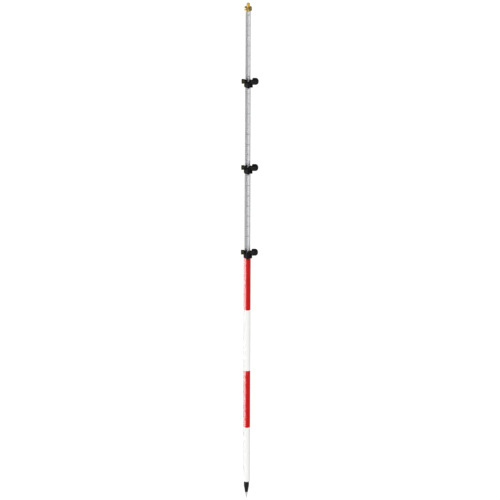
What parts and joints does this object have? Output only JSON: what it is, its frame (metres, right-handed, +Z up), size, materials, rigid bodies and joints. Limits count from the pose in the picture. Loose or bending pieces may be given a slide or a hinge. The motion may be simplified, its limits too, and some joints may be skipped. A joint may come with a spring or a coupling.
{
  "type": "prism pole",
  "caption": "Telescoping survey pole with a steel ground point, banded lower tube, sliding graduated sections, knob clamps and a threaded brass prism adapter.",
  "frame": {"origin": "tip of the steel ground point, on the pole's axis", "axes": "+Z up the pole, +X towards the clamp knobs, -Y the front, where the clamps are split and the graduations are read"},
  "size_m": [0.079, 0.0561, 2.455],
  "materials": {
    "steel": "turned, fine grinding marks",
    "black_anodised": "black anodised, semi-gloss, lightly rubbed on the edges",
    "bare_aluminium": "plain machined",
    "painted_tube": "gloss red and white bands",
    "satin_aluminium": "satin, with printed graduations",
    "nylon": "moulded black nylon",
    "black_plastic": "moulded, semi-matte",
    "dark_steel": "oiled dark olive steel",
    "zinc_steel": "bright zinc plate",
    "brass": "machined and knurled"
  },
  "bodies": {
    "outer": {"ground_point": "steel", "point_holder": "black_anodised", "foot_plug": "bare_aluminium", "foot_pin": "zinc_steel", "outer_tube": "painted_tube", "lower_collar": "black_anodised", "lower_liner": "nylon", "lower_lock_screw": "zinc_steel", "lower_cap_nut": "dark_steel"},
    "glide_2": {"section_2_glide": "nylon"},
    "section_2": {"section_2_tube": "satin_aluminium", "middle_collar": "black_anodised", "middle_liner": "nylon", "middle_lock_screw": "zinc_steel", "middle_cap_nut": "dark_steel"},
    "glide_3": {"section_3_glide": "nylon"},
    "section_3": {"section_3_tube": "satin_aluminium", "upper_collar": "black_anodised", "upper_liner": "nylon", "upper_lock_screw": "zinc_steel", "upper_cap_nut": "dark_steel"},
    "glide_4": {"section_4_glide": "nylon"},
    "section_4": {"section_4_tube": "satin_aluminium", "top_plug": "bare_aluminium", "top_pin": "zinc_steel", "prism_adapter": "brass", "prism_stud": "brass"},
    "lower_washer": {"lower_thrust_washer": "dark_steel"},
    "lower_knob": {"lower_knob": "black_plastic", "lower_clamp_screw": "zinc_steel"},
    "middle_washer": {"middle_thrust_washer": "dark_steel"},
    "middle_knob": {"middle_knob": "black_plastic", "middle_clamp_screw": "zinc_steel"},
    "upper_washer": {"upper_thrust_washer": "dark_steel"},
    "upper_knob": {"upper_knob": "black_plastic", "upper_clamp_screw": "zinc_steel"}
  },
  "joints": [
    {"name": "section_2_slide", "type": "slide", "parent": "outer", "child": "glide_2", "axis": [0, 0, 1], "range_m": [-0.369, 0.602]},
    {"name": "section_2_turn", "type": "hinge", "parent": "glide_2", "child": "section_2", "pos_m": [0, 0, 0], "axis": [0, 0, 1], "continuous": true},
    {"name": "section_3_slide", "type": "slide", "parent": "section_2", "child": "glide_3", "axis": [0, 0, 1], "range_m": [-0.374, 0.597]},
    {"name": "section_3_turn", "type": "hinge", "parent": "glide_3", "child": "section_3", "pos_m": [0, 0, 0], "axis": [0, 0, 1], "continuous": true},
    {"name": "section_4_slide", "type": "slide", "parent": "section_3", "child": "glide_4", "axis": [0, 0, 1], "range_m": [-0.32, 0.665]},
    {"name": "section_4_turn", "type": "hinge", "parent": "glide_4", "child": "section_4", "pos_m": [0, 0, 0], "axis": [0, 0, 1], "continuous": true},
    {"name": "lower_knob_turn", "type": "hinge", "parent": "lower_washer", "child": "lower_knob", "pos_m": [0, -0.02, 1.236], "axis": [1, 0, 0], "range_deg": [0, 540]},
    {"name": "lower_clamp_open", "type": "slide", "parent": "outer", "child": "lower_washer", "axis": [1, 0, 0], "range_m": [0, 0.0019]},
    {"name": "middle_knob_turn", "type": "hinge", "parent": "middle_washer", "child": "middle_knob", "pos_m": [0, -0.02, 1.655], "axis": [1, 0, 0], "range_deg": [0, 540]},
    {"name": "middle_clamp_open", "type": "slide", "parent": "section_2", "child": "middle_washer", "axis": [1, 0, 0], "range_m": [0, 0.0019]},
    {"name": "upper_knob_turn", "type": "hinge", "parent": "upper_washer", "child": "upper_knob", "pos_m": [0, -0.02, 2.079], "axis": [1, 0, 0], "range_deg": [0, 540]},
    {"name": "upper_clamp_open", "type": "slide", "parent": "section_3", "child": "upper_washer", "axis": [1, 0, 0], "range_m": [0, 0.0019]}
  ],
  "couplings": [
    {"joint": "lower_knob_turn", "follows": "lower_clamp_open", "rad_per_m": 4947.4},
    {"joint": "middle_knob_turn", "follows": "middle_clamp_open", "rad_per_m": 4947.4},
    {"joint": "upper_knob_turn", "follows": "upper_clamp_open", "rad_per_m": 4947.4}
  ]
}
